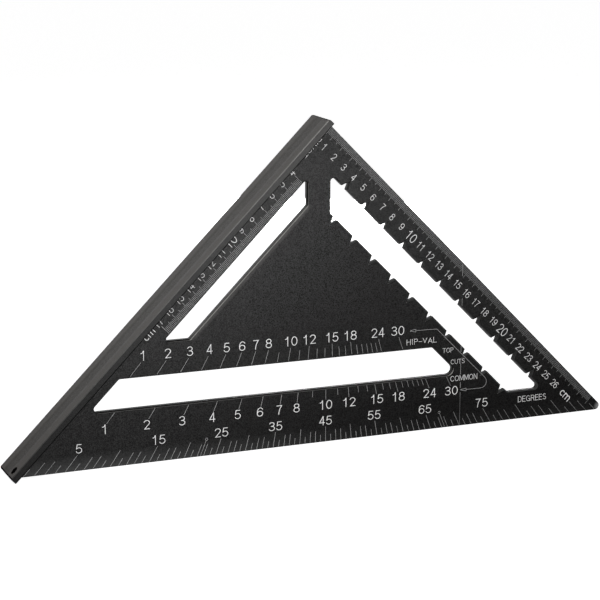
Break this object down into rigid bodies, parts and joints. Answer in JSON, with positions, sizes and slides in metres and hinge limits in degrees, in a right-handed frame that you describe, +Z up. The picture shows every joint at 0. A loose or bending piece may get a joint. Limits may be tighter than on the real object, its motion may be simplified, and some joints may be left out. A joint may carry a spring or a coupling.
{
  "type": "speed square",
  "caption": "Triangular carpenter's rafter square with a T-shaped fence, layout slots, scribing notches and printed centimetre, degree and rafter scales.",
  "frame": {"origin": "middle of the long edge that the square stands on, straight below the pivot corner and halfway through the blade", "axes": "+X along the long edge from the fence end to the sharp tip, +Y away from the printed face, +Z up from the long edge to the pivot corner"},
  "size_m": [0.4293, 0.0286, 0.218],
  "materials": {
    "coated_blade": "fine-grained matt black coating",
    "coated_fence": "smooth satin black anodising",
    "pin_steel": "ground steel",
    "scale_ink": "thin printed marks"
  },
  "bodies": {
    "root": {"blade": "coated_blade", "fence": "coated_fence", "dowel_pins": "pin_steel", "edge_scale": "scale_ink", "fence_scale": "scale_ink", "degree_scale": "scale_ink", "common_rafter_scale": "scale_ink", "hip_valley_scale": "scale_ink"}
  },
  "joints": []
}
